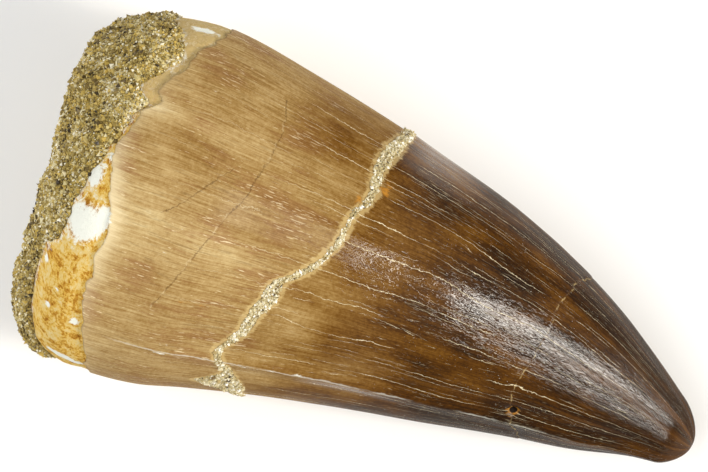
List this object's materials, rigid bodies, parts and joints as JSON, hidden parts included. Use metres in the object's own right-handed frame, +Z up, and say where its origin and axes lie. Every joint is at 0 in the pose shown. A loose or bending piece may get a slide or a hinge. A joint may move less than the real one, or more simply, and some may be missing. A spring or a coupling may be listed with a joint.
{
  "type": "mosasaur tooth",
  "caption": "Fossil marine reptile tooth lying on its side: stout tapering crown with keels, a sand-filled break across it and sandy rock stuck over the broken base.",
  "frame": {"origin": "on the table, under the middle of the tooth's box as it lies", "axes": "+X from the broken base to the tip, +Y towards the more curved edge, +Z up from the table"},
  "size_m": [0.0644, 0.0338, 0.028],
  "materials": {
    "enamel": "satin",
    "rock": "matte",
    "sand": "matte"
  },
  "bodies": {
    "root": {"tooth_crown": "enamel", "base_rock": "rock", "break_sand": "sand"}
  },
  "joints": []
}
